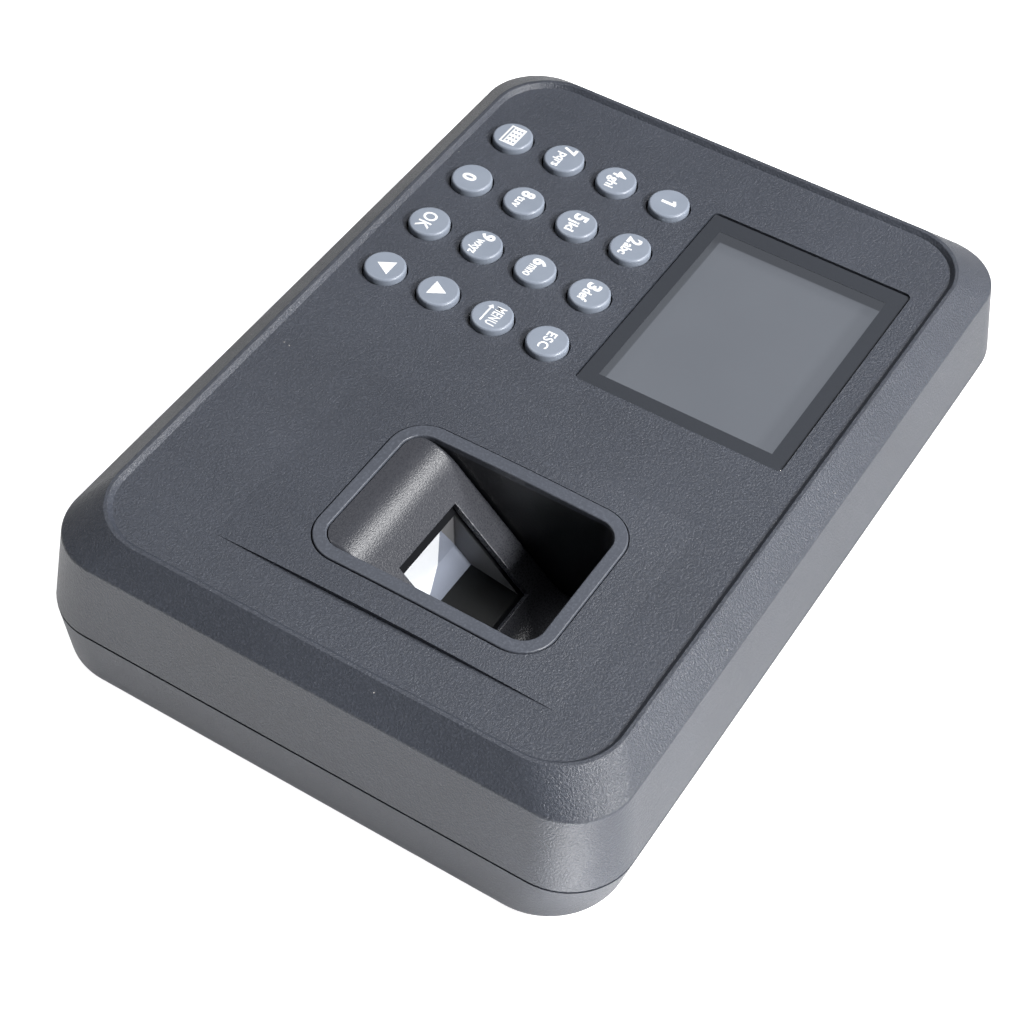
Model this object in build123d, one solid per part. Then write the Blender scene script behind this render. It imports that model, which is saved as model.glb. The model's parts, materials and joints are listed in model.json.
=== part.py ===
"""Fingerprint time-recording terminal, modelled lying on its back.

X runs along the long side (to the reader's right), Y along the short side (to the reader's top),
and Z out of the face. The origin is the centre of the footprint, in the plane the feet stand on.
All lengths are in millimetres.
"""
import os
from math import cos, radians, sin, tan

from build123d import *

# ---- driving dimensions -------------------------------------------------------------------------

# Housing, given as half sizes (x, y) and corner radius of its outline at each level.
body_half = (93.5, 66.4)
body_corner = 14.5
bevel_half = (91.06, 64.0)
bevel_corner = 13.6
lip_half = (85.1, 58.05)
lip_corner = 14.6
wall = 2.2

foot_height = 1.2
depth_behind_face = 38.0
front_shell_height = 22.8
bevel_height = 4.3
lip_height = 1.0
lip_width = 0.8
lip_slope = 0.9
parting_gap = 0.6

back_z = foot_height
face_z = back_z + depth_behind_face
face_under_z = face_z - wall
parting_z = face_z - front_shell_height
bevel_z = face_z - bevel_height
lip_z = face_z + lip_height
cover_top_z = parting_z - parting_gap
cover_floor_z = back_z + wall

# Back cover outline, at its top edge and at the back. The back slopes in further on the Y+ side.
cover_top_half = (93.5, 66.4)
cover_back_half = (93.1, 64.4)
cover_back_shift_y = -1.5
cover_corner = 14.5
cover_back_corner = 17.0
cover_edge_fillet = 3.0

# Screen.
screen_centre = (-34.25, 26.9)
screen_size = (61.5, 48.0)
screen_corner = 1.2
screen_thickness = 1.2
screen_gap = 0.2
gasket_thickness = 0.3
display_size = (53.9, 40.6)
display_depth = 3.0
display_border = (3.0, 2.2)
opening_border = 1.5
gasket_border = 1.1

# Keypad, four columns and four rows.
key_pitch = (17.47, 13.63)
key_first = (-60.5, -6.6)
key_diameter = 9.3
key_hole_diameter = 10.1
key_flange_diameter = 12.0
key_flange_thickness = 1.0
key_rise = 1.4
key_edge_round = 0.55
key_stem_diameter = 5.0
key_stem_length = 1.4
key_names = (
    ("1", "2", "3", "esc"),
    ("4", "5", "6", "menu"),
    ("7", "8", "9", "up"),
    ("input", "0", "ok", "down"),
)
dome_height = 2.2
mat_thickness = 1.0
board_thickness = 1.6

# Finger bay: the raised field around it, its trim ring and the ramp inside.
bay_centre = (45.6, 8.5)
ring_size = (40.9, 54.2)
ring_corner = 8.0
bay_size = (34.6, 48.6)
bay_corner = 4.8
ring_gap = 0.26
ring_proud = 0.3
ring_round = 0.3
skirt_wall = 1.8
field_size_x = 53.6
field_low_y = -33.5
field_high_y = 44.5
field_rise = 1.05

# Ramp profile in Y and Z. It starts just above the face, nearly level with the trim ring.
ramp_start_rise = 0.7
ramp_roll_y = -8.6
ramp_roll_radius = 12.0
ramp_angle = 42.1
trough_depth = 25.6
trough_radius = 7.0
ramp_thickness = 2.0
ramp_side_round = 0.9
ramp_clearance = 0.28
window_width = 20.2
window_top_y = -1.3
window_length = 24.4
window_edge_round = 0.2
prism_drop = 1.8
prism_depth = 11.0

# Fasteners and feet.
screw_shank_diameter = 2.9
screw_head_diameter = 5.4
screw_head_height = 2.0
screw_head_sink = 1.5
screw_length = 20.0
boss_diameter = 8.4
foot_diameter = 12.0
foot_recess = 0.8
case_screw_places = [(x, y) for x in (-77.0, 77.0) for y in (-49.0, 49.0)] + [(6.0, -54.0), (6.0, 54.0)]
foot_places = [(x, y) for x in (-78.0, 78.0) for y in (-34.0, 34.0)]

key_post_diameter = 4.6
key_screw_diameter = 2.2
key_screw_hole = 2.3

# Wall keyholes.
keyhole_spacing = 90.0
keyhole_y = 30.0
keyhole_entry_diameter = 9.0
keyhole_slot_width = 4.4
keyhole_slot_length = 9.0

# Main board and what stands on it.
main_board_size = (72.0, 75.0)
main_board_centre = (-36.0, -21.5)
main_board_z = 5.5
main_board_top = main_board_z + board_thickness
board_screw_places = [(x, y) for x in (-68.0, -4.0) for y in (-46.0, 12.0)]
socket_face_y = -63.6
usb_x = -48.0
usb_size = (13.2, 14.0, 5.8)
jack_x = -22.0
jack_size = (9.0, 13.0, 8.0)
jack_middle_z = main_board_z + jack_size[2] / 2
jack_bore_diameter = 6.4
jack_pin_diameter = 2.0
jack_bore_depth = 9.5
cell_centre = (-22.0, -15.0)
cell_diameter = 20.0
cell_thickness = 3.2
speaker_centre = (46.0, -41.0)
speaker_diameter = 28.0

flex_width = 16.0
flex_thickness = 0.25
flex_plug_y = 10.0
connector_size = (20.0, 5.0, 2.6)

tiny = 0.02

# The display's glass reaches past its picture area, and the tray's rim goes round the glass.
panel_size = (display_size[0] + 2 * display_border[0], display_size[1] + 2 * display_border[1])
tray_rim = 0.7
tray_size = (panel_size[0] + 2 * tray_rim, panel_size[1] + 2 * tray_rim)


# ---- helpers ------------------------------------------------------------------------------------

def slab(half, corner, z):
    """Rounded rectangle face centred on the origin at height z."""
    return Plane.XY.offset(z) * RectangleRounded(2 * half[0], 2 * half[1], corner)


def loft_between(half_a, corner_a, z_a, half_b, corner_b, z_b):
    """Straight-sided solid between two rounded rectangles."""
    return loft([slab(half_a, corner_a, z_a), slab(half_b, corner_b, z_b)], ruled=True)


def block(centre, size, z_low, z_high, corner=0.0):
    """Upright block, with rounded vertical corners when corner is given."""
    outline = RectangleRounded(size[0], size[1], corner) if corner else Rectangle(size[0], size[1])
    return Pos(centre[0], centre[1], z_low) * extrude(outline, z_high - z_low)


def post(centre, diameter, z_low, z_high):
    """Upright cylinder."""
    return Pos(centre[0], centre[1], z_low) * extrude(Circle(diameter / 2), z_high - z_low)


def tube(centre, outer, inner, z_low, z_high):
    """Upright tube."""
    return post(centre, outer, z_low, z_high) - post(centre, inner, z_low - 1, z_high + 1)


def shrink(half, amount):
    return (half[0] - amount, half[1] - amount)


def edges_at(solid, z, tolerance=0.01):
    """Edges lying wholly in the horizontal plane at height z."""
    return [e for e in solid.edges() if abs(e.bounding_box().min.Z - z) < tolerance
            and abs(e.bounding_box().max.Z - z) < tolerance]


def key_centre(column, row):
    return (key_first[0] + column * key_pitch[0], key_first[1] - row * key_pitch[1])


key_centres = {key_names[row][column]: key_centre(column, row) for row in range(4) for column in range(4)}

# The field around the bay is an arch along Y, cut from a large cylinder that lies along X.
field_middle_y = (field_low_y + field_high_y) / 2
field_chord = field_high_y - field_low_y
field_radius = (field_chord ** 2 / 4 + field_rise ** 2) / (2 * field_rise)
field_axis_z = face_z + field_rise - field_radius


def arch(size_x, raise_by=0.0):
    """Cylinder lying along X over the bay, whose crown is the top of the raised field."""
    cylinder = Cylinder(field_radius + raise_by, size_x, rotation=(0, 90, 0))
    return Pos(bay_centre[0], field_middle_y, field_axis_z) * cylinder


# Points of the ramp's top line. The straight incline runs down at ramp_angle.
incline = radians(ramp_angle)
ramp_start_z = face_z + ramp_start_rise
trough_z = face_z - trough_depth
bay_low_y = bay_centre[1] - bay_size[1] / 2
bay_high_y = bay_centre[1] + bay_size[1] / 2
trough_corner_y = ramp_roll_y + (ramp_start_z - trough_z) / tan(incline)
window_top_z = ramp_start_z - (window_top_y - ramp_roll_y) * tan(incline)

# Plane of the incline at the window's upper edge: x along X, y down the slope, z out of the ramp.
window_plane = Plane(
    origin=(bay_centre[0], window_top_y, window_top_z),
    x_dir=(1, 0, 0),
    z_dir=(0, sin(incline), cos(incline)),
)


def ramp_band(depth, low_y, high_y):
    """Ramp cross-section in the YZ plane: its top line, closed by the same line moved down."""
    def line(drop):
        corners = [
            (low_y, ramp_start_z - drop),
            (ramp_roll_y, ramp_start_z - drop),
            (trough_corner_y, trough_z - drop),
            (high_y, trough_z - drop),
        ]
        return FilletPolyline(*corners, radius=[ramp_roll_radius, trough_radius])
    top = line(0)
    bottom = line(depth)
    ends = [Line(top @ 0, bottom @ 0), Line(top @ 1, bottom @ 1)]
    return make_face(Plane.YZ * (top + bottom + ends[0] + ends[1]))


screw_seat_z = back_z + screw_head_sink + screw_head_height


# ---- housing ------------------------------------------------------------------------------------

def make_front_shell():
    side = loft_between(body_half, body_corner, parting_z, bevel_half, bevel_corner, bevel_z)
    bevel = loft_between(bevel_half, bevel_corner, bevel_z, lip_half, lip_corner, lip_z)
    shell = side + bevel
    foot_half = shrink(lip_half, lip_width + lip_slope)
    recess = loft_between(foot_half, lip_corner - lip_width - lip_slope, face_z,
                          shrink(lip_half, lip_width), lip_corner - lip_width, lip_z)
    shell -= recess
    shell = fillet(edges_at(shell, bevel_z), 0.7)
    shell = fillet(edges_at(shell, lip_z), 0.25)

    field = arch(field_size_x) & block((bay_centre[0], field_middle_y), (field_size_x, field_chord),
                                       face_z - 1, face_z + 5)
    shell += field

    inner_low = (shrink(body_half, wall), body_corner - wall)
    inner_mid = (shrink(bevel_half, wall), bevel_corner - wall)
    inner_top = (shrink(lip_half, 3.0), lip_corner - 3.0)
    shell -= loft_between(*inner_low, parting_z, *inner_mid, bevel_z - 1.4)
    shell -= loft_between(*inner_mid, bevel_z - 1.4, *inner_top, face_under_z)

    # Pocket for the screen window, and the opening behind it.
    pocket = (screen_size[0] + 2 * screen_gap, screen_size[1] + 2 * screen_gap)
    pocket_z = face_z - screen_thickness - gasket_thickness
    shell -= block(screen_centre, pocket, pocket_z, face_z + 1, screen_corner + screen_gap)
    ledge = (display_size[0] + 2 * opening_border, display_size[1] + 2 * opening_border)
    shell -= block(screen_centre, ledge, face_under_z - 1, face_z, 0.8)

    for centre in key_centres.values():
        shell -= post(centre, key_hole_diameter, face_under_z - 1, face_z + 1)

    hole = (ring_size[0] + 2 * ring_gap, ring_size[1] + 2 * ring_gap)
    shell -= block(bay_centre, hole, face_under_z - 1, face_z + 3, ring_corner + ring_gap)

    # Screw bosses hang from the inside of the face and meet the back cover's own bosses.
    for place in case_screw_places:
        shell += tube(place, boss_diameter, screw_shank_diameter + 0.1,
                      parting_z + 2.0, face_under_z + 0.1)
    for place in key_post_places:
        shell += tube(place, key_post_diameter, key_screw_hole, key_board_top_z, face_under_z + 0.1)
    # Frame walls that hold the display module.
    module = (tray_size[0] + 0.2, tray_size[1] + 0.2)
    frame_low = face_z - screen_thickness - gasket_thickness - display_depth - 5.0
    rim = block(screen_centre, (module[0] + 2.4, module[1] + 2.4), frame_low, face_under_z + 0.1)
    shell += rim - block(screen_centre, module, frame_low - 1, face_under_z + 1)
    return shell


def cover_form(inset, low_z):
    """Tapering solid between the cover's back and top outlines, both drawn in by inset."""
    back = slab(shrink(cover_back_half, inset), cover_back_corner - inset, low_z)
    top = slab(shrink(cover_top_half, inset), cover_corner - inset, cover_top_z)
    return loft([Pos(0, cover_back_shift_y, 0) * back, top], ruled=True)


def make_back_cover():
    cover = cover_form(0, back_z)
    cover = fillet(edges_at(cover, back_z), cover_edge_fillet)
    cover -= cover_form(wall + 1, cover_floor_z)

    # Tongue that locates the cover inside the front shell.
    tongue_half = shrink(body_half, wall + 0.15)
    tongue_top = parting_z + 2.5
    tongue = loft_between(tongue_half, body_corner - wall, cover_top_z - 2.0,
                          shrink(tongue_half, 0.35), body_corner - wall, tongue_top)
    cover += tongue - block((0, 0), (2 * tongue_half[0] - 2.8, 2 * tongue_half[1] - 2.8),
                            cover_top_z - 3, tongue_top + 1, body_corner - wall - 1.4)

    for place in case_screw_places:
        cover += post(place, boss_diameter, cover_floor_z - 0.1, parting_z + 1.9)
        cover -= post(place, screw_shank_diameter + 0.5, back_z - 1, parting_z + 3)
        cover -= post(place, screw_head_diameter + 0.6, back_z - 1, screw_seat_z)
    for place in board_screw_places:
        cover += tube(place, 6.0, 2.3, cover_floor_z - 0.1, main_board_z)
    for place in foot_places:
        cover -= post(place, foot_diameter + 0.4, back_z - 1, back_z + foot_recess)

    # Keyholes for two wall screws. The narrow slot runs up from each round entry.
    for x in (-keyhole_spacing / 2, keyhole_spacing / 2):
        cover -= post((x, keyhole_y), keyhole_entry_diameter, back_z - 1, cover_floor_z + 1)
        slot_y = keyhole_y + keyhole_slot_length / 2
        slot_size = (keyhole_slot_width, keyhole_slot_length)
        cover -= block((x, slot_y), slot_size, back_z - 1, cover_floor_z + 1)
        slot_end = (x, keyhole_y + keyhole_slot_length)
        cover -= post(slot_end, keyhole_slot_width, back_z - 1, cover_floor_z + 1)

    # Openings in the lower edge for the two sockets.
    usb_hole = Box(usb_size[0] + 0.6, 10, usb_size[2] + 0.6)
    cover -= Pos(usb_x, socket_face_y, main_board_top + usb_size[2] / 2) * usb_hole
    jack_hole = Box(jack_size[0] + 0.6, 10, jack_size[2] + 0.3)
    cover -= Pos(jack_x, socket_face_y, jack_middle_z) * jack_hole

    # Speaker grille: rings of small holes.
    for ring, count in ((0, 1), (3.2, 6), (6.4, 12), (9.6, 18)):
        for step in range(count):
            angle = radians(360 * step / count)
            place = (speaker_centre[0] + ring * cos(angle), speaker_centre[1] + ring * sin(angle))
            cover -= post(place, 1.5, back_z - 1, cover_floor_z + 1)
    cover += tube(speaker_centre, speaker_diameter + 3.0, speaker_diameter + 0.4,
                  cover_floor_z - 0.1, cover_floor_z + 3.0)
    return cover


def make_feet():
    return Compound([post(place, foot_diameter, 0, back_z + foot_recess) for place in foot_places])


# ---- screen -------------------------------------------------------------------------------------

lens_low_z = face_z - screen_thickness
gasket_low_z = lens_low_z - gasket_thickness
display_top_z = lens_low_z - display_depth


def make_screen_window():
    lens = block(screen_centre, screen_size, lens_low_z, face_z, screen_corner)
    return chamfer(edges_at(lens, face_z), 0.15)


def make_gasket():
    frame = block(screen_centre, screen_size, gasket_low_z, lens_low_z, screen_corner)
    hole = (display_size[0] + 2 * gasket_border, display_size[1] + 2 * gasket_border)
    return frame - block(screen_centre, hole, gasket_low_z - 1, lens_low_z + 1, 0.5)


def make_display_panel():
    return block(screen_centre, panel_size, display_top_z - 1.6, display_top_z)


def make_display_tray():
    tray = block(screen_centre, tray_size, display_top_z - 3.4, display_top_z)
    inside = (panel_size[0] + 0.2, panel_size[1] + 0.2)
    return tray - block(screen_centre, inside, display_top_z - 1.62, display_top_z + 1)


def make_display_flex():
    """Ribbon from under the display tray, down to its connector on the main board."""
    route = FilletPolyline(
        (flex_plug_y + 10.0, display_top_z - 3.7),
        (flex_plug_y - 6.0, display_top_z - 3.7),
        (flex_plug_y - 6.0, main_board_top + 2.0),
        (flex_plug_y, main_board_top + 2.0),
        radius=2.5,
    )
    strip = trace(route, flex_thickness)
    sheet = extrude(Plane.YZ * strip, flex_width, dir=(1, 0, 0))
    return Pos(screen_centre[0] - flex_width / 2, 0, 0) * sheet


# ---- keypad -------------------------------------------------------------------------------------

flange_top_z = face_under_z - 0.1
flange_low_z = flange_top_z - key_flange_thickness
stem_low_z = flange_low_z - key_stem_length
mat_top_z = stem_low_z - tiny - dome_height
mat_low_z = mat_top_z - mat_thickness
key_board_top_z = mat_low_z
keypad_middle = (key_first[0] + 1.5 * key_pitch[0], key_first[1] - 1.5 * key_pitch[1])
keypad_size = (3 * key_pitch[0] + 17.0, 3 * key_pitch[1] + 15.0)
key_post_places = [
    (key_first[0] + (column + 0.5) * key_pitch[0], key_first[1] - (row + 0.5) * key_pitch[1])
    for column in (0, 2) for row in (0, 2)
]


def make_key(centre):
    cap = post(centre, key_diameter, flange_top_z - 0.1, face_z + key_rise)
    cap = fillet(edges_at(cap, face_z + key_rise), key_edge_round)
    cap += post(centre, key_flange_diameter, flange_low_z, flange_top_z)
    cap += post(centre, key_stem_diameter, stem_low_z, flange_low_z + 0.1)
    return cap


def make_key_mat():
    mat = block(keypad_middle, keypad_size, mat_low_z, mat_top_z, 2.0)
    for centre in key_centres.values():
        hollow = Pos(centre[0], centre[1], mat_low_z) * Cone(
            3.6, 2.0, mat_thickness + dome_height - 1.0, align=(Align.CENTER, Align.CENTER, Align.MIN))
        dome = Pos(centre[0], centre[1], mat_top_z - tiny) * Cone(
            4.4, 2.8, dome_height + tiny, align=(Align.CENTER, Align.CENTER, Align.MIN))
        mat += dome
        mat -= hollow
    for place in key_post_places:
        mat -= post(place, key_post_diameter + 0.6, mat_low_z - 1, mat_top_z + 1)
    return mat


def make_key_board():
    board = block(keypad_middle, keypad_size, key_board_top_z - board_thickness, key_board_top_z, 1.0)
    for place in key_post_places:
        board -= post(place, 2.6, key_board_top_z - board_thickness - 1, key_board_top_z + 1)
    return board


def make_key_board_screws():
    low_z = key_board_top_z - board_thickness
    screws = []
    for place in key_post_places:
        head = post(place, 2 * key_screw_diameter, low_z - 1.4, low_z)
        shank = post(place, key_screw_diameter, low_z - 0.1, low_z + 6.0)
        screws.append(head + shank)
    return Compound(screws)


# ---- finger bay ---------------------------------------------------------------------------------

skirt_size = (bay_size[0] + 2 * skirt_wall, bay_size[1] + 2 * skirt_wall)
skirt_low_z = trough_z - ramp_thickness
collar_low_z = face_z - 1.6


def make_trim_ring():
    ring = block(bay_centre, ring_size, collar_low_z, lip_z + 5, ring_corner)
    ring = ring & arch(field_size_x, ring_proud)
    ring += block(bay_centre, skirt_size, skirt_low_z, collar_low_z + 0.1, bay_corner + skirt_wall)
    ring -= block(bay_centre, bay_size, skirt_low_z - 1, lip_z + 6, bay_corner)
    top_edges = [e for e in ring.edges() if e.bounding_box().min.Z > face_z + 0.3]
    return fillet(top_edges, ring_round)


def upper_side_edges(ramp):
    """Edges along the ramp's two long sides. Each upper one has a lower twin straight below it."""
    along = [e for e in ramp.edges() if e.bounding_box().size.X < tiny and e.bounding_box().size.Y > tiny]
    upper = []
    for edge in along:
        twins = [e.center().Z for e in along if abs(e.center().Y - edge.center().Y) < tiny]
        if edge.center().Z > max(twins) - tiny:
            upper.append(edge)
    return upper


def window_edges(ramp):
    """Upper edges of the window's opening: the straight edges that lie in the window's plane."""
    found = []
    for edge in ramp.edges():
        middle = window_plane.to_local_coords(edge.center())
        across = abs(middle.X) < window_width / 2 + tiny
        along = -tiny < middle.Y < window_length + tiny
        if abs(middle.Z) < tiny and across and along:
            found.append(edge)
    return found


def make_finger_ramp():
    half_x = bay_size[0] / 2 - ramp_clearance
    band = ramp_band(ramp_thickness, bay_low_y + ramp_clearance, bay_high_y - ramp_clearance)
    ramp = Pos(bay_centre[0] - half_x, 0, 0) * extrude(band, 2 * half_x, dir=(1, 0, 0))
    ramp = fillet(upper_side_edges(ramp), ramp_side_round)
    outline = block(bay_centre, (2 * half_x, bay_size[1] - 2 * ramp_clearance),
                    skirt_low_z - 5, lip_z + 5, bay_corner - ramp_clearance)
    ramp = ramp & outline
    opening = Pos(0, window_length / 2, 0) * Box(window_width, window_length, 12)
    ramp -= window_plane * opening
    return fillet(window_edges(ramp), window_edge_round)


def make_prism():
    """Glass wedge behind the window. Its upper face lies prism_drop below the ramp's surface."""
    half = window_width / 2 + 0.8
    end = window_length + 0.8
    outline = Polyline((-0.8, -prism_drop), (end, -prism_drop), (end, -prism_drop - 1.4),
                       (15.5, -prism_depth), (6.5, -prism_depth), (-0.8, -prism_drop - 1.4), close=True)
    section = make_face(outline)
    wedge = extrude(section, 2 * half)
    turn = Plane(origin=(0, 0, 0), x_dir=(0, 1, 0), z_dir=(1, 0, 0))
    return window_plane * (Pos(-half, 0, 0) * (turn * wedge))


# ---- fingerprint sensor, under the ramp. Its parts use the window's own plane -------------------

housing_wall = 1.5
housing_half_x = 13.5
housing_low_y = -3.5
housing_high_y = 27.5
housing_top_z = -ramp_thickness * cos(incline) - 0.05
housing_depth = 14.0
sensor_board_thickness = 1.2
camera_y = 17.0
camera_diameter = 8.0


def window_block(half_x, low_y, high_y, low_z, high_z):
    """Block given by its limits in the window's plane."""
    size = Box(2 * half_x, high_y - low_y, high_z - low_z)
    return window_plane * (Pos(0, (low_y + high_y) / 2, (low_z + high_z) / 2) * size)


def make_sensor_housing():
    outer = window_block(housing_half_x, housing_low_y, housing_high_y, -housing_depth, housing_top_z)
    inner = window_block(housing_half_x - housing_wall, housing_low_y + housing_wall,
                         housing_high_y - housing_wall, -housing_depth - 1, housing_top_z + 1)
    return outer - inner


def make_sensor_board():
    return window_block(housing_half_x, housing_low_y, housing_high_y,
                        -housing_depth - sensor_board_thickness, -housing_depth)


def make_sensor_camera():
    barrel = Cylinder(camera_diameter / 2, 3.0, align=(Align.CENTER, Align.CENTER, Align.MIN))
    base = Box(10, 10, 1.2, align=(Align.CENTER, Align.CENTER, Align.MIN))
    camera = barrel + base
    camera -= Pos(0, 0, 2.0) * Cylinder(2.4, 2, align=(Align.CENTER, Align.CENTER, Align.MIN))
    return window_plane * (Pos(0, camera_y, -housing_depth) * camera)


def make_sensor_lights():
    """Row of four small lamps beside the camera."""
    lamps = []
    for x in (-7.5, -2.5, 2.5, 7.5):
        lamps.append(window_plane * (Pos(x, 2.0, -housing_depth + 0.6) * Box(2.0, 1.6, 1.2)))
    return Compound(lamps)


def make_sensor_cable():
    """Ribbon from the sensor board, under the bay skirt, to the main board."""
    start_x = bay_centre[0] - housing_half_x - 0.1
    route = FilletPolyline((start_x, 10.4), (12.0, 10.4), (7.0, main_board_top + 1.4),
                           (-5.0, main_board_top + 1.4), radius=4.0)
    sheet = extrude(Plane.XZ * trace(route, flex_thickness), 8.0, dir=(0, 1, 0))
    return Pos(0, -1.0, 0) * sheet


# ---- boards and what stands on them -------------------------------------------------------------

def make_main_board():
    board = block(main_board_centre, main_board_size, main_board_z, main_board_top, 1.5)
    notch = (jack_size[0] + 0.4, 2 * jack_size[1] + 0.4)
    board -= block((jack_x, socket_face_y), notch, main_board_z - 1, main_board_top + 1)
    for place in board_screw_places:
        board -= post(place, 3.2, main_board_z - 1, main_board_top + 1)
    return board


def make_board_screws():
    screws = []
    for place in board_screw_places:
        head = post(place, 5.0, main_board_top, main_board_top + 1.8)
        screws.append(head + post(place, 2.2, cover_floor_z + 0.3, main_board_top + 0.1))
    return Compound(screws)


def make_case_screws():
    screws = []
    for place in case_screw_places:
        head = post(place, screw_head_diameter, screw_seat_z - screw_head_height, screw_seat_z)
        head -= Pos(place[0], place[1], screw_seat_z - screw_head_height) * Box(3.2, 0.8, 2.0)
        head -= Pos(place[0], place[1], screw_seat_z - screw_head_height) * Box(0.8, 3.2, 2.0)
        shank = post(place, screw_shank_diameter, screw_seat_z - 0.1, screw_seat_z + screw_length)
        screws.append(head + shank)
    return Compound(screws)


def make_board_chips():
    """Processor, memory, sound amplifier and crystal."""
    chips = []
    for x, y, size_x, size_y, height in (
        (-44.0, -18.0, 14.0, 14.0, 1.4), (-62.0, -16.0, 8.0, 6.0, 1.2),
        (-40.0, -38.0, 5.0, 4.0, 1.4), (-56.0, -30.0, 11.0, 4.6, 3.4),
    ):
        chips.append(block((x, y), (size_x, size_y), main_board_top, main_board_top + height))
    return Compound(chips)


def make_board_connectors():
    """Sockets for the display ribbon and for the sensor ribbon."""
    display = block((screen_centre[0], flex_plug_y + connector_size[1] / 2), connector_size[:2],
                    main_board_top, main_board_top + connector_size[2])
    display -= Pos(screen_centre[0], flex_plug_y, main_board_top + 2.0) * Box(flex_width + 0.4, 0.1, 0.6)
    sensor = block((-7.6, 3.0), (5.0, 11.0), main_board_top, main_board_top + 2.2)
    return Compound([display, sensor])


def make_usb_socket():
    middle_z = main_board_top + usb_size[2] / 2
    shell = Pos(usb_x, socket_face_y + usb_size[1] / 2, middle_z) * Box(*usb_size)
    cavity = Box(usb_size[0] - 0.8, 12.0, usb_size[2] - 0.8)
    return shell - Pos(usb_x, socket_face_y + 5.0, middle_z) * cavity


def make_usb_tongue():
    middle_z = main_board_top + usb_size[2] / 2
    tongue = Pos(usb_x, socket_face_y + 6.2, middle_z + 1.1) * Box(11.0, 9.0, 1.8)
    heel = Pos(usb_x, socket_face_y + 10.5, middle_z) * Box(usb_size[0] - 0.9, 0.9, usb_size[2] - 0.9)
    return tongue + heel


def make_power_jack():
    body = Pos(jack_x, socket_face_y + jack_size[1] / 2, jack_middle_z) * Box(*jack_size)
    bore = Cylinder(jack_bore_diameter / 2, jack_bore_depth, rotation=(90, 0, 0))
    return body - Pos(jack_x, socket_face_y + jack_bore_depth / 2 - 0.01, jack_middle_z) * bore


def make_power_pin():
    length = jack_bore_depth - 1.2
    pin = Cylinder(jack_pin_diameter / 2, length, rotation=(90, 0, 0))
    return Pos(jack_x, socket_face_y + jack_bore_depth - 0.02 - length / 2, jack_middle_z) * pin


def make_cell_holder():
    top = main_board_top + cell_thickness + 1.2
    holder = block(cell_centre, (cell_diameter + 4.0, 16.0), main_board_top, top, 1.0)
    holder -= post(cell_centre, cell_diameter + 0.4, main_board_top + 1.0, top + 1)
    return holder


def make_clock_cell():
    low_z = main_board_top + 1.0
    cell = post(cell_centre, cell_diameter, low_z, low_z + cell_thickness)
    return fillet(edges_at(cell, low_z + cell_thickness), 0.4)


def make_speaker_basket():
    low_z = cover_floor_z + tiny
    basket = tube(speaker_centre, speaker_diameter, speaker_diameter - 4.0, low_z, low_z + 1.6)
    basket += tube(speaker_centre, speaker_diameter - 3.0, speaker_diameter - 6.0,
                   low_z + 1.5, low_z + 4.0)
    return basket + post(speaker_centre, speaker_diameter - 4.0, low_z + 4.0, low_z + 5.0)


def make_speaker_magnet():
    low_z = cover_floor_z + tiny + 5.0
    return post(speaker_centre, 15.0, low_z, low_z + 3.0)


def make_speaker_cone():
    low_z = cover_floor_z + tiny + 0.5
    outer = Cone(11.8, 4.0, 2.6, align=(Align.CENTER, Align.CENTER, Align.MIN))
    inner = Cone(11.4, 3.6, 2.6, align=(Align.CENTER, Align.CENTER, Align.MIN))
    cone = Pos(*speaker_centre, low_z) * outer
    cone -= Pos(*speaker_centre, low_z - 0.3) * inner
    return cone


def build():
    parts = {
        "front_shell": make_front_shell(),
        "back_cover": make_back_cover(),
        "rubber_feet": make_feet(),
        "screen_window": make_screen_window(),
        "screen_gasket": make_gasket(),
        "display_panel": make_display_panel(),
        "display_tray": make_display_tray(),
        "key_mat": make_key_mat(),
        "key_board": make_key_board(),
        "key_board_screws": make_key_board_screws(),
        "bay_trim_ring": make_trim_ring(),
        "finger_ramp": make_finger_ramp(),
        "sensor_prism": make_prism(),
        "sensor_housing": make_sensor_housing(),
        "sensor_board": make_sensor_board(),
        "sensor_camera": make_sensor_camera(),
        "sensor_lights": make_sensor_lights(),
        "sensor_cable": make_sensor_cable(),
        "display_flex": make_display_flex(),
        "main_board": make_main_board(),
        "main_board_chips": make_board_chips(),
        "main_board_connectors": make_board_connectors(),
        "main_board_screws": make_board_screws(),
        "case_screws": make_case_screws(),
        "usb_socket": make_usb_socket(),
        "usb_tongue": make_usb_tongue(),
        "power_jack": make_power_jack(),
        "power_pin": make_power_pin(),
        "cell_holder": make_cell_holder(),
        "clock_cell": make_clock_cell(),
        "speaker_basket": make_speaker_basket(),
        "speaker_magnet": make_speaker_magnet(),
        "speaker_cone": make_speaker_cone(),
    }
    for name, centre in key_centres.items():
        parts["key_" + name] = make_key(centre)
    return parts


os.makedirs("parts", exist_ok=True)
for name, solid in build().items():
    export_step(solid, os.path.join("parts", name + ".step"))
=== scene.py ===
"""Looks for the fingerprint terminal: materials, key legends, screen, sensor window, lights and camera.

Every length is in metres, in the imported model's frame: X to the reader's right, Y to the top of the
text, Z out of the face. Sizes given in millimetres are multiplied by mm.
"""
import json
from math import cos, radians, sin

import bmesh
import bpy
from mathutils import Matrix, Quaternion, Vector


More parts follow.
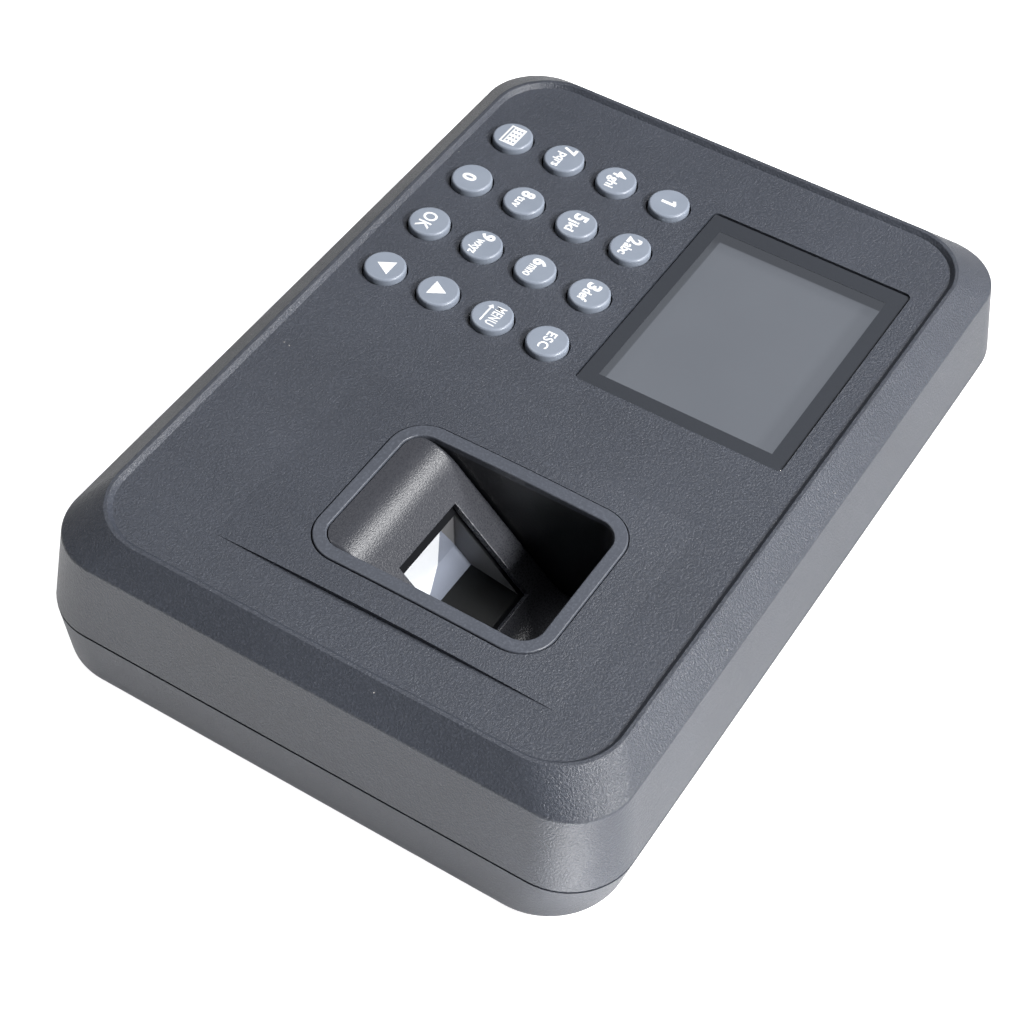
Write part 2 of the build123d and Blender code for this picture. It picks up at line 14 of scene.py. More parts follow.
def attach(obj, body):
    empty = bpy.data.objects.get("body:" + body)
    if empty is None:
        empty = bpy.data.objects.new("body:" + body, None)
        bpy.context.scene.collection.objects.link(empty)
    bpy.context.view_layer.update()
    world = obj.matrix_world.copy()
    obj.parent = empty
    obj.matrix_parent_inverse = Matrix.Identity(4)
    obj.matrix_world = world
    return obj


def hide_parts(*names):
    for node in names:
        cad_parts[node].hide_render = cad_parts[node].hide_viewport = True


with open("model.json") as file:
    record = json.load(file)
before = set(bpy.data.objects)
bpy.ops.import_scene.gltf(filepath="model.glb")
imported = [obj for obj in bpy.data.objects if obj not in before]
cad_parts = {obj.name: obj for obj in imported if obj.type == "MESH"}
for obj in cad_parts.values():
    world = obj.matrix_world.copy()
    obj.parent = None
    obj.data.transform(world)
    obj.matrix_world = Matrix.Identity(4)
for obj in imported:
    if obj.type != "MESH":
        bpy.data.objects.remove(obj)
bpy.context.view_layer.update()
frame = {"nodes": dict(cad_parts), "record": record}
nodes = frame["nodes"]
mm = 0.001

# ---- sizes shared with the CAD model, in millimetres --------------------------------------------

face_z = 39.2
key_top_z = 40.6
key_first = (-60.5, -6.6)
key_pitch = (17.47, 13.63)
key_names = (
    ("1", "2", "3", "esc"),
    ("4", "5", "6", "menu"),
    ("7", "8", "9", "up"),
    ("input", "0", "ok", "down"),
)
screen_centre = (-34.25, 26.9)
screen_size = (61.5, 48.0)
display_size = (53.9, 40.6)
bay_centre = (45.6, 8.5)
ramp_angle = radians(42.1)
window_top = (-1.3, 33.304)
window_width = 20.2
window_length = 24.4


# ---- node helpers -------------------------------------------------------------------------------

class Shader:
    """Short way to write a material's node tree."""

    def __init__(self, name):
        self.material = bpy.data.materials.new(name)
        self.material.use_nodes = True
        self.tree = self.material.node_tree
        self.tree.nodes.clear()
        self.output = self.tree.nodes.new("ShaderNodeOutputMaterial")
        self.place = self.add("ShaderNodeTexCoord").outputs["Object"]

    def add(self, kind, **values):
        node = self.tree.nodes.new(kind)
        for key, value in values.items():
            setattr(node, key, value)
        return node

    def feed(self, socket, value):
        if isinstance(value, bpy.types.NodeSocket):
            self.tree.links.new(value, socket)
        else:
            socket.default_value = value

    def noise(self, scale, detail=2.0, rough=0.5):
        node = self.add("ShaderNodeTexNoise")
        self.feed(node.inputs["Vector"], self.place)
        node.inputs["Scale"].default_value = scale
        node.inputs["Detail"].default_value = detail
        node.inputs["Roughness"].default_value = rough
        return node.outputs["Fac"]

    def cells(self, scale, randomness=1.0):
        node = self.add("ShaderNodeTexVoronoi")
        self.feed(node.inputs["Vector"], self.place)
        node.inputs["Scale"].default_value = scale
        node.inputs["Randomness"].default_value = randomness
        return node.outputs["Distance"]

    def math(self, operation, first, second=0.0, clamp=False):
        node = self.add("ShaderNodeMath", operation=operation, use_clamp=clamp)
        self.feed(node.inputs[0], first)
        self.feed(node.inputs[1], second)
        return node.outputs[0]

    def remap(self, value, low, high, to_low=0.0, to_high=1.0, smooth=False):
        node = self.add("ShaderNodeMapRange", interpolation_type="SMOOTHSTEP" if smooth else "LINEAR")
        self.feed(node.inputs["Value"], value)
        node.inputs["From Min"].default_value = low
        node.inputs["From Max"].default_value = high
        node.inputs["To Min"].default_value = to_low
        node.inputs["To Max"].default_value = to_high
        return node.outputs["Result"]

    def blend(self, factor, first, second):
        node = self.add("ShaderNodeMix", data_type="RGBA")
        self.feed(node.inputs["Factor"], factor)
        self.feed(node.inputs["A"], (*first, 1) if isinstance(first, tuple) else first)
        self.feed(node.inputs["B"], (*second, 1) if isinstance(second, tuple) else second)
        return node.outputs["Result"]

    def height(self):
        node = self.add("ShaderNodeSeparateXYZ")
        self.feed(node.inputs[0], self.place)
        return node.outputs["Z"]

    def bump(self, value, distance):
        node = self.add("ShaderNodeBump")
        node.inputs["Strength"].default_value = 1.0
        node.inputs["Distance"].default_value = distance
        self.feed(node.inputs["Height"], value)
        return node.outputs["Normal"]

    def surface(self, color, roughness, normal=None, **values):
        node = self.add("ShaderNodeBsdfPrincipled")
        self.feed(node.inputs["Base Color"], (*color, 1) if isinstance(color, tuple) else color)
        self.feed(node.inputs["Roughness"], roughness)
        if normal is not None:
            self.feed(node.inputs["Normal"], normal)
        for key, value in values.items():
            self.feed(node.inputs[key.replace("_", " ")], value)
        return node.outputs[0]

    def finish(self, shader):
        self.tree.links.new(shader, self.output.inputs["Surface"])
        return self.material


# ---- materials ----------------------------------------------------------------------------------

def moulded_plastic(name, color, roughness, grain=0.26 * mm, dust=0.0, painted_shade_below=None):
    """Plastic moulded with a fine spark-eroded grain.

    dust is how strongly sparse pale specks show. The last argument is a height under which the moulding is
    painted darker, as painted shade deep in the finger bay.
    """
    s = Shader(name)
    coarse = s.noise(2100.0, 2.0, 0.6)
    fine = s.noise(6000.0, 1.0)
    relief = s.math("ADD", s.math("MULTIPLY", coarse, 0.7), s.math("MULTIPLY", fine, 0.3))
    cloud = s.noise(38.0, 3.0)
    darker = tuple(c * 0.93 for c in color)
    lighter = tuple(c * 1.07 for c in color)
    grain_tops = tuple(c * 1.8 for c in color)
    tint = s.blend(s.remap(cloud, 0.3, 0.7), darker, lighter)
    tint = s.blend(s.remap(coarse, 0.5, 0.68, 0.0, 0.4), tint, grain_tops)
    if dust:
        speck = s.remap(s.cells(210.0), 0.035, 0.02)
        sparse = s.remap(s.noise(24.0, 1.0), 0.6, 0.66)
        dust_color = (0.5, 0.48, 0.45)
        tint = s.blend(s.math("MULTIPLY", s.math("MULTIPLY", speck, sparse), dust), tint, dust_color)
    rough = s.remap(coarse, 0.3, 0.7, roughness - 0.06, roughness + 0.06)
    if painted_shade_below is not None:
        # Painted shade: under the given height the colour fades to a quarter, standing in for the shade
        # deep in the finger bay.
        depth = s.remap(s.height(), painted_shade_below + 0.4 * mm, painted_shade_below)
        tint = s.blend(depth, tint, tuple(c * 0.25 for c in color))
    normal = s.bump(relief, grain)
    return s.finish(s.surface(tint, rough, normal, Specular_IOR_Level=0.5))


def make_key_plastic():
    """Smooth blue-grey plastic of the key caps."""
    s = Shader("key_plastic")
    fine = s.noise(6000.0, 2.0)
    cloud = s.noise(160.0, 3.0)
    tint = s.blend(s.remap(cloud, 0.3, 0.7), (0.225, 0.255, 0.31), (0.25, 0.282, 0.34))
    normal = s.bump(fine, 0.006 * mm)
    rough = s.remap(cloud, 0.3, 0.7, 0.3, 0.36)
    return s.finish(s.surface(tint, rough, normal, Specular_IOR_Level=0.5))


def make_ramp_plastic():
    """Dark plate with a fine grain, slightly stretched along X."""
    s = Shader("ramp_plastic")
    stretch = s.add("ShaderNodeMapping")
    s.feed(stretch.inputs["Vector"], s.place)
    stretch.inputs["Scale"].default_value = (0.7, 1.0, 1.0)
    weave = s.add("ShaderNodeTexNoise")
    s.feed(weave.inputs["Vector"], stretch.outputs[0])
    weave.inputs["Scale"].default_value = 3400.0
    weave.inputs["Detail"].default_value = 2.0
    tint = s.blend(s.remap(weave.outputs["Fac"], 0.35, 0.7), (0.04, 0.042, 0.05), (0.05, 0.052, 0.061))
    normal = s.bump(weave.outputs["Fac"], 0.06 * mm)
    rough = s.remap(weave.outputs["Fac"], 0.3, 0.7, 0.24, 0.34)
    return s.finish(s.surface(tint, rough, normal, Specular_IOR_Level=0.5))


def make_print(name, color, roughness=0.5, specular=0.5):
    """Printed ink with a slight mottle."""
    s = Shader(name)
    mottle = s.noise(4000.0, 2.0)
    tint = s.blend(s.remap(mottle, 0.3, 0.7), tuple(c * 0.93 for c in color), color)
    return s.finish(s.surface(tint, roughness, s.bump(mottle, 0.002 * mm), Specular_IOR_Level=specular))


def make_clear(name, tint=(1.0, 1.0, 1.0)):
    """Thin clear pane: it reflects by angle and otherwise lets light straight through."""
    s = Shader(name)
    ripple = s.bump(s.noise(90.0, 1.0), 0.002 * mm)
    clear = s.add("ShaderNodeBsdfTransparent")
    clear.inputs["Color"].default_value = (*tint, 1)
    gloss = s.add("ShaderNodeBsdfGlossy")
    gloss.inputs["Roughness"].default_value = 0.03
    s.feed(gloss.inputs["Normal"], ripple)
    edge = s.add("ShaderNodeFresnel")
    edge.inputs["IOR"].default_value = 1.5
    mix = s.add("ShaderNodeMixShader")
    behind = s.add("ShaderNodeNewGeometry").outputs["Backfacing"]
    s.feed(mix.inputs[0], s.math("MULTIPLY", edge.outputs[0], s.math("SUBTRACT", 1.0, behind)))
    s.tree.links.new(clear.outputs[0], mix.inputs[1])
    s.tree.links.new(gloss.outputs[0], mix.inputs[2])
    return s.finish(mix.outputs[0])


def make_display():
    """Liquid-crystal panel with a faint even glow, a darker surround and a fine pixel pitch. The glow is
    painted light, standing in for the light the panel reflects; the surround is partly the panel's own
    darker border and partly painted shade under the printed border.
    """
    s = Shader("display_film")
    rows = s.cells(5200.0, randomness=0.0)
    cloud = s.noise(30.0, 2.0)
    across = s.add("ShaderNodeSeparateXYZ")
    s.feed(across.inputs[0], s.place)
    inside = None
    soft_edge = 0.15
    for axis, centre, size in zip("XY", screen_centre, display_size):
        offset = s.math("ABSOLUTE", s.math("SUBTRACT", across.outputs[axis], centre * mm))
        within = s.remap(offset, (size / 2 + soft_edge) * mm, (size / 2 - soft_edge) * mm)
        inside = within if inside is None else s.math("MULTIPLY", inside, within)
    # Painted light: the panel glows evenly though no lamp lights it. Outside the display area the glow
    # drops, partly for the darker border and partly as painted shade.
    glow = s.blend(s.remap(cloud, 0.3, 0.7), (0.215, 0.227, 0.262), (0.232, 0.244, 0.28))
    glow = s.blend(s.remap(rows, 0.3, 0.6, 0.0, 0.12), glow, (0.17, 0.18, 0.2))
    glow = s.blend(inside, (0.115, 0.121, 0.14), glow)
    return s.finish(s.surface((0.05, 0.052, 0.058), 0.3, Emission_Color=glow, Emission_Strength=1.0,
                              Specular_IOR_Level=0.3))


def make_metal(name, color, roughness):
    """Metal with fine scratches."""
    s = Shader(name)
    scratch = s.noise(900.0, 4.0, 0.7)
    tint = s.blend(s.remap(scratch, 0.3, 0.7), tuple(c * 0.85 for c in color), color)
    rough = s.remap(scratch, 0.3, 0.7, roughness - 0.06, roughness + 0.06)
    return s.finish(s.surface(tint, rough, s.bump(scratch, 0.004 * mm), Metallic=1.0))


def make_plain(name, color, roughness, scale=1500.0, relief=0.01 * mm):
    """Rubber, paper, film or other dull stuff, with a slight mottle and relief."""
    s = Shader(name)
    mottle = s.noise(scale, 3.0)
    tint = s.blend(s.remap(mottle, 0.3, 0.7), tuple(c * 0.8 for c in color), color)
    rough = s.remap(mottle, 0.3, 0.7, roughness - 0.05, roughness + 0.05)
    return s.finish(s.surface(tint, rough, s.bump(mottle, relief)))


def make_board_lacquer():
    """Green solder lacquer over faint copper tracks."""
    s = Shader("board_lacquer")
    tracks = s.add("ShaderNodeTexBrick")
    s.feed(tracks.inputs["Vector"], s.place)
    tracks.inputs["Scale"].default_value = 260.0
    tracks.inputs["Color1"].default_value = (0.01, 0.12, 0.04, 1)
    tracks.inputs["Color2"].default_value = (0.012, 0.1, 0.035, 1)
    tracks.inputs["Mortar"].default_value = (0.03, 0.2, 0.07, 1)
    tracks.inputs["Mortar Size"].default_value = 0.04
    normal = s.bump(tracks.outputs["Fac"], 0.02 * mm)
    return s.finish(s.surface(tracks.outputs["Color"], 0.28, normal, Coat_Weight=0.4))


case_color = (0.049, 0.0545, 0.069)
finishes = {
    "housing": moulded_plastic("housing_plastic", case_color, 0.34, dust=0.8),
    "back": moulded_plastic("back_plastic", case_color, 0.38),
    # The trim is painted darker below the face: painted shade in the finger bay.
    "trim": moulded_plastic("trim_plastic", (0.07, 0.077, 0.095), 0.36, 0.05 * mm,
                            painted_shade_below=(face_z - 0.4) * mm),
    "ramp": make_ramp_plastic(),
    "keys": make_key_plastic(),
    "window": make_clear("lens_acrylic", (0.86, 0.87, 0.87)),
    "display": make_display(),
    "prism": make_clear("sensor_glass"),
    "rubber": make_plain("black_rubber", (0.03, 0.03, 0.03), 0.7),
    "mat": make_plain("grey_silicone", (0.4, 0.41, 0.41), 0.6),
    "dark_plastic": make_plain("dark_plastic", (0.03, 0.03, 0.032), 0.45),
    "pale_plastic": make_plain("pale_plastic", (0.7, 0.7, 0.66), 0.45),
    "board": make_board_lacquer(),
    "ribbon": make_plain("ribbon_film", (0.5, 0.28, 0.06), 0.35),
    "lamp": make_plain("lamp_resin", (0.85, 0.85, 0.8), 0.2),
    "steel": make_metal("screw_steel", (0.42, 0.42, 0.43), 0.35),
    "sheet_steel": make_metal("plated_steel", (0.62, 0.62, 0.6), 0.3),
    "paper": make_plain("speaker_paper", (0.05, 0.05, 0.05), 0.8, 700.0, 0.04 * mm),
}
white_ink = make_print("white_ink", (0.86, 0.87, 0.88))
black_ink = make_print("black_ink", (0.006, 0.0065, 0.008), 0.6, 0.05)
border_ink = make_print("border_ink", (0.05, 0.054, 0.066), 0.4)

for part in frame["record"]["subparts"]:
    mesh = nodes[part["node"]].data
    mesh.materials.clear()
    mesh.materials.append(finishes[part["material_slot"]])


# ---- pieces -------------------------------------------------------------------------------------

def add_piece(name, mesh, body, materials):
    """A new object made of this mesh, riding on that body."""
    mesh.name = name
    for material in materials:
        mesh.materials.append(material)
    piece = bpy.data.objects.new(name, mesh)
    bpy.context.scene.collection.objects.link(piece)
    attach(piece, body)
    return piece


def thick_sheet(name, outlines, low_z, high_z):
    """Flat closed mesh: each outline (a list of x, y) becomes an island between the two heights."""
    shape = bmesh.new()
    for outline in outlines:
        bottom = [shape.verts.new((x, y, low_z)) for x, y in outline]
        top = [shape.verts.new((x, y, high_z)) for x, y in outline]
        shape.faces.new(list(reversed(bottom)))
        shape.faces.new(top)
        count = len(outline)
        for i in range(count):
            j = (i + 1) % count
            shape.faces.new((bottom[i], bottom[j], top[j], top[i]))
    bmesh.ops.recalc_face_normals(shape, faces=shape.faces)
    mesh = bpy.data.meshes.new(name)
    shape.to_mesh(mesh)
    shape.free()
    return mesh


ink_thickness = 0.02 * mm
ink_sunk = 0.005 * mm
merge_distance = 0.0005 * mm
bold = {"digit": 0.04, "word": 0.018, "letter": 0.025}


def letter_outline(text, left, bottom, width, height, weight="digit"):
    """Mesh of the text, fitted into a box given in millimetres from the key's centre.

    weight names an entry of bold, which says how far the strokes are thickened.
    """
    curve = bpy.data.curves.new("letters", "FONT")
    curve.body = text
    curve.offset = bold[weight]
    curve.space_character = 1.12 if weight == "word" else 1.0
    curve.extrude = 0.5
    curve.resolution_u = 6
    holder = bpy.data.objects.new("letters", curve)
    bpy.context.scene.collection.objects.link(holder)
    bpy.context.view_layer.update()
    mesh = bpy.data.meshes.new_from_object(holder.evaluated_get(bpy.context.evaluated_depsgraph_get()))
    bpy.data.objects.remove(holder)
    low = [min(v.co[i] for v in mesh.vertices) for i in range(3)]
    high = [max(v.co[i] for v in mesh.vertices) for i in range(3)]
    scale = (width * mm / (high[0] - low[0]), height * mm / (high[1] - low[1]), ink_thickness)
    for vertex in mesh.vertices:
        for i, start in enumerate((left * mm, bottom * mm, 0.0)):
            vertex.co[i] = start + (vertex.co[i] - low[i]) * scale[i]
    return mesh


def joined(name, meshes, shift):
    """One mesh out of several, moved by shift. Doubled points are merged, so each stays closed."""
    shape = bmesh.new()
    for mesh in meshes:
        shape.from_mesh(mesh)
        bpy.data.meshes.remove(mesh)
    bmesh.ops.remove_doubles(shape, verts=shape.verts, dist=merge_distance)
    bmesh.ops.translate(shape, verts=shape.verts, vec=shift)
    bmesh.ops.recalc_face_normals(shape, faces=shape.faces)
    result = bpy.data.meshes.new(name)
    shape.to_mesh(result)
    shape.free()
    return result


def in_metres(outlines):
    return [[(x * mm, y * mm) for x, y in outline] for outline in outlines]


def flat_shapes(outlines):
    """Ink in the shape of outlines given in millimetres from the key's centre."""
    return thick_sheet("shapes", in_metres(outlines), 0.0, ink_thickness)


def rectangle(left, bottom, width, height):
    right, top = left + width, bottom + height
    return [(left, bottom), (right, bottom), (right, top), (left, top)]


def keyboard_sign():
    """Plate with a slot along its lower edge and rows of square holes above it, as strips."""
    width, height = 6.2, 3.9
    left, bottom = -width / 2, -height / 2
    rim, slot_height = 0.42, 0.5
    hole, rows, columns = 0.55, 3, 4
    strips = [
        rectangle(left, bottom, width, rim),
        rectangle(left, bottom + rim, rim, slot_height),
        rectangle(left + width - rim, bottom + rim, rim, slot_height),
    ]
    row_step = (height - 2 * rim - slot_height) / rows
    y = bottom + rim + slot_height
    gap = (width - columns * hole) / (columns + 1)
    for row in range(rows):
        strips.append(rectangle(left, y, width, row_step - hole))
        y += row_step - hole
        for column in range(columns + 1):
            strips.append(rectangle(left + column * (gap + hole), y, gap, hole))
        y += hole
    strips.append(rectangle(left, y, width, bottom + height - y))
    return flat_shapes(strips)


# Small letters beside a digit: the text, its height, and how far it hangs below the digit's foot.
small_letters = {
    "2": ("abc", 2.5, 0.0),
    "3": ("def", 2.5, 0.0),
    "4": ("ghi", 3.15, 0.65),
    "5": ("jkl", 3.15, 0.65),
    "6": ("mno", 1.75, 0.0),
    "7": ("pqrs", 2.4, 0.65),
    "8": ("tuv", 2.0, 0.0),
    "9": ("wxyz", 2.4, 0.65),
}


def digit_with_letters(digit):
    """Meshes of a digit and its small letters, centred on the key together."""
    text, tall, drop = small_letters[digit]
    digit_width, digit_height, space = 2.0, 3.4, 0.3
    small_width = 1.25 * len(text)
    left = -(digit_width + space + small_width) / 2
    foot = -digit_height / 2
    return [
        letter_outline(digit, left, foot, digit_width, digit_height),
        letter_outline(text, left + digit_width + space, foot - drop, small_width, tall, "letter"),
    ]


def key_legend(key):
    """Meshes of what is printed on a key, around the origin."""
    if key in small_letters:
        return digit_with_letters(key)
    if key == "1":
        one = [
            (-0.2, -1.8), (0.6, -1.8), (0.6, 1.8), (-0.05, 1.8),
            (-1.1, 1.15), (-0.8, 0.5), (-0.2, 0.85),
        ]
        return [flat_shapes([one])]
    if key == "0":
        return [letter_outline("0", -0.95, -2.25, 2.3, 3.4)]
    if key == "ok":
        return [letter_outline("OK", -2.6, -2.15, 5.6, 3.3, "word")]
    if key == "esc":
        return [letter_outline("ESC", -2.6, -1.15, 5.2, 2.3, "word")]
    if key == "menu":
        arrow = [
            (-2.8, -1.45), (-1.8, -2.2), (-1.8, -1.65), (2.7, -1.65),
            (2.7, -1.25), (-1.8, -1.25), (-1.8, -0.7),
        ]
        return [letter_outline("MENU", -2.9, -0.35, 5.8, 2.4, "word"), flat_shapes([arrow])]
    if key == "up":
        return [flat_shapes([[(-2.2, -1.7), (2.2, -1.7), (0.0, 2.0)]])]
    if key == "down":
        return [flat_shapes([[(-2.2, 1.7), (0.0, -2.0), (2.2, 1.7)]])]
    return [keyboard_sign()]


for row, names in enumerate(key_names):
    for column, key in enumerate(names):
        centre = Vector((
            (key_first[0] + column * key_pitch[0]) * mm,
            (key_first[1] - row * key_pitch[1]) * mm,
            key_top_z * mm - ink_sunk,
        ))
        mesh = joined("legend_" + key, key_legend(key), centre)
        add_piece("legend_" + key, mesh, "key_" + key, [white_ink])


# ---- screen mask --------------------------------------------------------------------------------

def frame_strips(outer, inner):
    """Four rectangles that make a frame. outer and inner are (left, right, bottom, top)."""
    left, right, bottom, top = outer
    in_left, in_right, in_bottom, in_top = inner
    return [
        rectangle(left, bottom, right - left, in_bottom - bottom),
        rectangle(left, in_top, right - left, top - in_top),
        rectangle(left, in_bottom, in_left - left, in_top - in_bottom),
        rectangle(in_right, in_bottom, right - in_right, in_top - in_bottom),
    ]


def make_screen_mask():
    """Printed border just under the lens surface, around the display area."""
    clearance = 0.12
    ledge = 0.85  # the left strip reaches this much further in, over the case's shadowed ledge
    thickness, depth = 0.04, 0.42
    x, y = screen_centre
    half_x, half_y = (size / 2 - clearance for size in screen_size)
    open_x, open_y = (size / 2 for size in display_size)
    strips = frame_strips((x - half_x, x + half_x, y - half_y, y + half_y),
                          (x - open_x + ledge, x + open_x, y - open_y, y + open_y))
    top = (face_z - depth) * mm
    return thick_sheet("screen_mask", in_metres(strips), top - thickness * mm, top)


add_piece("screen_mask", make_screen_mask(), "housing", [border_ink])


# ---- sensor window ------------------------------------------------------------------------------

# The window's own axes: x along X, y down the slope, z out of the ramp.
window_axes = Matrix((
    (1, 0, 0, bay_centre[0] * mm),
    (0, cos(ramp_angle), sin(ramp_angle), window_top[0] * mm),
    (0, -sin(ramp_angle), cos(ramp_angle), window_top[1] * mm),
    (0, 0, 0, 1),
))

# Painted reflections: these white, blue-grey, grey and black tones stand for the light the glass prism
# refracts and reflects, laid on the tub's walls as ink.
inner_white = make_print("prism_white", (0.75, 0.77, 0.8), 0.25)
inner_blue = make_print("prism_blue_grey", (0.2, 0.22, 0.27), 0.2)
inner_grey = make_print("prism_grey", (0.13, 0.13, 0.135), 0.25)
inner_black = make_print("prism_black", (0.006, 0.007, 0.008), 0.3)

# Places of the prism block's painted reflection tones in its material list, and its outline around the
# window.
white, blue, grey, black = range(4)
prism_painted_reflections = [inner_white, inner_blue, inner_grey, inner_black]
prism_edge = 0.7
prism_half = window_width / 2 + prism_edge
prism_end = window_length + prism_edge


def make_prism_block():
    """Optic block under the glass: an open tub whose four slanted walls carry the optic's tones as painted
    reflections, standing in for what the glass prism refracts.
    """
    rim_half = 9.6
    rim_low, rim_high = 1.8, 23.7
    floor_low, floor_high = 8.3, 13.8
    foot_low, foot_high = 6.6, 15.4
    top, side_foot, floor, foot = -2.2, -3.1, -8.5, -10.9
    shape = bmesh.new()

    def point(x, y, z):
        return shape.verts.new((x * mm, y * mm, z * mm))

    def ring(half, low, high, z):
        return [point(x, y, z) for x, y in ((-half, low), (half, low), (half, high), (-half, high))]

    def face(corners, material):
        shape.faces.new(corners).material_index = material

    outer_top = ring(prism_half, -prism_edge, prism_end, top)
    rim = ring(rim_half, rim_low, rim_high, top)
    floor_ring = ring(rim_half, floor_low, floor_high, floor)
    low_side = ring(prism_half, -prism_edge, prism_end, side_foot)
    foot_ring = ring(prism_half, foot_low, foot_high, foot)
    for i in range(4):
        j = (i + 1) % 4
        face((outer_top[i], outer_top[j], rim[j], rim[i]), black)
        face((low_side[i], low_side[j], outer_top[j], outer_top[i]), black)
        face((foot_ring[i], foot_ring[j], low_side[j], low_side[i]), black)
    face(list(reversed(foot_ring)), black)
    # Inner walls, painted with the optic's reflected tones. The wall under the window's upper edge is
    # split between grey, blue-grey and white.
    split_top = point(-4.6, rim_low, top)
    split_floor = point(-3.2, floor_low, floor)
    face((rim[0], split_top, floor_ring[0]), grey)
    face((split_top, rim[1], floor_ring[1], split_floor), white)
    face((split_top, split_floor, floor_ring[0]), blue)
    face((rim[1], rim[2], floor_ring[2], floor_ring[1]), white)
    face((rim[2], rim[3], floor_ring[3], floor_ring[2]), black)
    face((rim[3], rim[0], floor_ring[0], floor_ring[3]), grey)
    white_edge = point(2.6, (floor_low + floor_high) / 2, floor)
    face((split_floor, floor_ring[1], white_edge), white)
    face((floor_ring[0], split_floor, white_edge, floor_ring[2], floor_ring[3]), blue)
    face((floor_ring[1], floor_ring[2], white_edge), white)
    bmesh.ops.recalc_face_normals(shape, faces=shape.faces)
    shape.transform(window_axes)
    mesh = bpy.data.meshes.new("prism_block")
    shape.to_mesh(mesh)
    shape.free()
    return mesh


def prism_sheet(name, strips, low_z, high_z):
    """Flat closed mesh in the window's own axes, from outlines in millimetres."""
    mesh = thick_sheet(name, in_metres(strips), low_z * mm, high_z * mm)
    mesh.transform(window_axes)
    return mesh


def make_prism_glass():
    """Pane over the tub."""
    pane = rectangle(-prism_half, -prism_edge, 2 * prism_half, prism_end + prism_edge)
    return prism_sheet("prism_glass", [pane], -2.15, -1.82)


def make_prism_bezel():
    """Black frame on the glass."""
    strips = frame_strips((-prism_half, prism_half, -prism_edge, prism_end), (-10.0, 10.0, 2.0, 23.8))
    return prism_sheet("prism_bezel", strips, -1.815, -1.79)


block = add_piece("prism_block", make_prism_block(), "housing", prism_painted_reflections)
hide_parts("sensor_prism")
add_piece("prism_glass", make_prism_glass(), "housing", [finishes["prism"]])
add_piece("prism_bezel", make_prism_bezel(), "housing", [black_ink])


# ---- studio -------------------------------------------------------------------------------------

def make_floor_paper():
    """Pale paper. The camera sees it plain white, and the object sees it glow where light falls on it."""
    glow_direction = (0.99, -0.1, 0.0)
    glow_strength = 0.95
    spot_place, spot_radius, spot_strength = (0.114, 0.08, 0.0), 0.024, 16.0
    s = Shader("studio_paper")
    tint = s.blend(s.noise(300.0, 2.0), (0.7, 0.7, 0.7), (0.74, 0.74, 0.74))
    paper = s.surface(tint, 0.22)
    # Lit from the side: the sheet glows towards the reader's right, with a hot spot at the corner.
    forward = s.add("ShaderNodeVectorMath", operation="DOT_PRODUCT")
    s.feed(forward.inputs[0], s.place)
    forward.inputs[1].default_value = glow_direction
    spill = s.remap(forward.outputs["Value"], -0.02, 0.19, 0.0, glow_strength, smooth=True)
    reach = s.add("ShaderNodeVectorMath", operation="DISTANCE")
    s.feed(reach.inputs[0], s.place)
    reach.inputs[1].default_value = spot_place
    spot = s.remap(reach.outputs["Value"], spot_radius, 0.0, 0.0, spot_strength, smooth=True)
    bounce = s.add("ShaderNodeEmission")
    s.feed(bounce.inputs["Strength"], s.math("ADD", spill, spot))
    backdrop = s.add("ShaderNodeEmission")
    backdrop.inputs["Strength"].default_value = 1.0
    seen = s.add("ShaderNodeLightPath").outputs["Is Camera Ray"]
    glow = s.add("ShaderNodeMixShader")
    s.feed(glow.inputs[0], seen)
    s.tree.links.new(bounce.outputs[0], glow.inputs[1])
    s.tree.links.new(backdrop.outputs[0], glow.inputs[2])
    both = s.add("ShaderNodeAddShader")
    s.tree.links.new(paper, both.inputs[0])
    s.tree.links.new(glow.outputs[0], both.inputs[1])
    return s.finish(both.outputs[0])


def make_floor():
    half = 4.0
    mesh = bpy.data.meshes.new("studio_floor")
    corners = [(-half, -half, 0), (half, -half, 0), (half, half, 0), (-half, half, 0)]
    mesh.from_pydata(corners, [], [(0, 1, 2, 3)])
    mesh.materials.append(make_floor_paper())
    floor = bpy.data.objects.new("studio_floor", mesh)
    bpy.context.scene.collection.objects.link(floor)


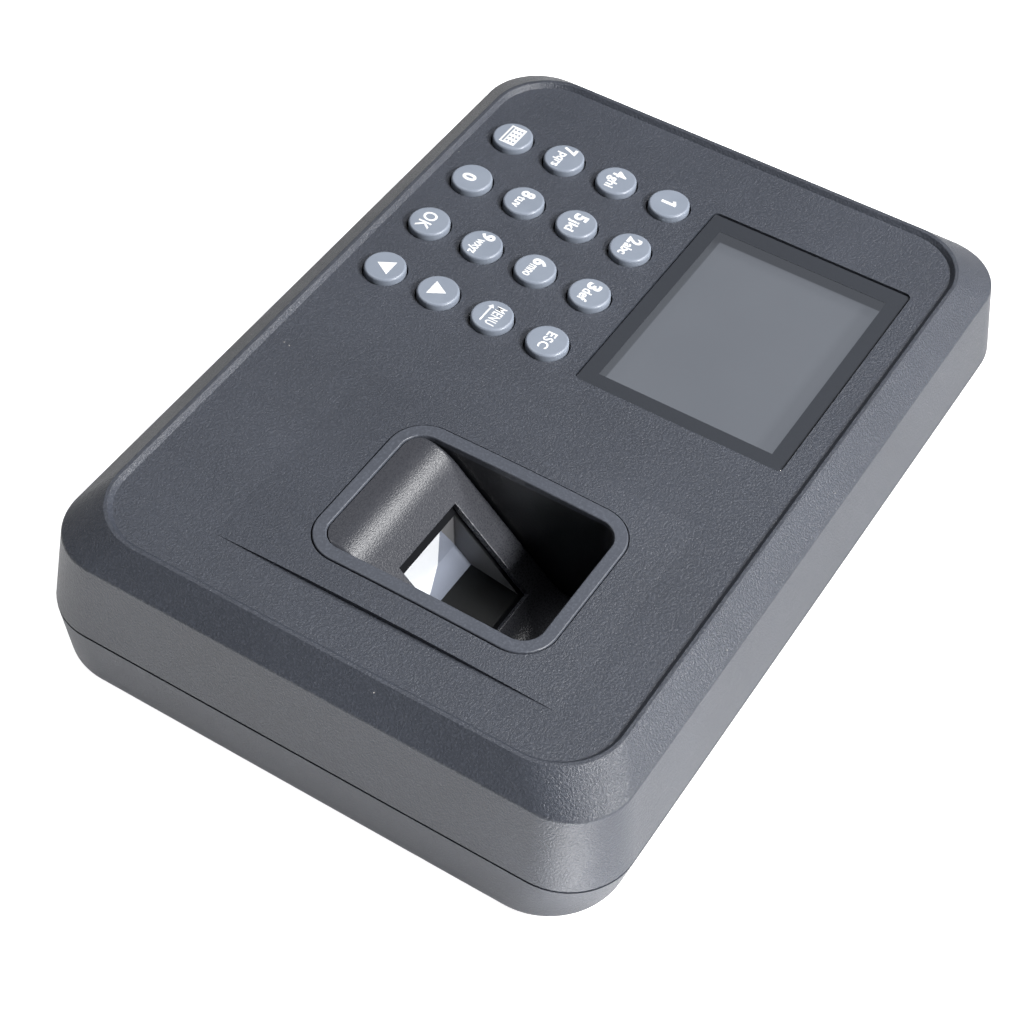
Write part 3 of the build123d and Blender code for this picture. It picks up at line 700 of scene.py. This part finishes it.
def add_softbox(name, azimuth, elevation, distance, width, height, power):
    """Area light aimed at the middle of the object. azimuth turns from X towards Y, in degrees."""
    aim = Vector((0, 0, 0.02))
    light = bpy.data.lights.new(name, "AREA")
    light.shape = "RECTANGLE"
    light.size = width
    light.size_y = height
    light.energy = power
    lamp = bpy.data.objects.new(name, light)
    bpy.context.scene.collection.objects.link(lamp)
    angle, lift = radians(azimuth), radians(elevation)
    away = Vector((cos(lift) * cos(angle), cos(lift) * sin(angle), sin(lift)))
    lamp.location = away * distance + aim
    lamp.rotation_mode = "QUATERNION"
    lamp.rotation_quaternion = away.to_track_quat("Z", "Y")


make_floor()
add_softbox("soft_low", 60, 10, 1.2, 0.35, 0.35, 2.0)
add_softbox("soft_right", 90, 37, 1.2, 0.24, 0.24, 20.0)
add_softbox("soft_over", 138, 53, 1.2, 0.5, 0.35, 10.0)
add_softbox("soft_behind", 255, 60, 1.2, 0.35, 0.35, 2.6)


def make_world(name, light_strength):
    """White surroundings, at full strength for the camera and faint for everything else."""
    world = bpy.data.worlds.new(name)
    bpy.context.scene.world = world
    world.use_nodes = True
    tree = world.node_tree
    background = tree.nodes["Background"]
    background.inputs["Color"].default_value = (1, 1, 1, 1)
    background.inputs["Strength"].default_value = light_strength
    backdrop = tree.nodes.new("ShaderNodeBackground")
    backdrop.inputs["Color"].default_value = (1, 1, 1, 1)
    backdrop.inputs["Strength"].default_value = 1.0
    seen = tree.nodes.new("ShaderNodeLightPath").outputs["Is Camera Ray"]
    choice = tree.nodes.new("ShaderNodeMixShader")
    tree.links.new(seen, choice.inputs[0])
    tree.links.new(background.outputs[0], choice.inputs[1])
    tree.links.new(backdrop.outputs[0], choice.inputs[2])
    tree.links.new(choice.outputs[0], tree.nodes["World Output"].inputs["Surface"])


make_world("studio_world", 0.05)


# ---- camera -------------------------------------------------------------------------------------

camera_place = Vector((0.2878, 0.1519, 0.3688))
view_azimuth = radians(-149.583)
view_drop = radians(50.474)
view_roll = radians(2.564)
forward = Vector((cos(view_drop) * cos(view_azimuth), cos(view_drop) * sin(view_azimuth), -sin(view_drop)))
lens_data = bpy.data.cameras.new("camera")
lens_data.sensor_width = 36.0
lens_data.lens = 78.26
lens_data.shift_x = 0.0370
lens_data.shift_y = 0.0615
camera = bpy.data.objects.new("camera", lens_data)
bpy.context.scene.collection.objects.link(camera)
camera.location = camera_place
camera.rotation_mode = "QUATERNION"
camera.rotation_quaternion = forward.to_track_quat("-Z", "Y") @ Quaternion((0, 0, 1), view_roll)
bpy.context.scene.camera = camera
bpy.context.scene.view_settings.view_transform = "Standard"
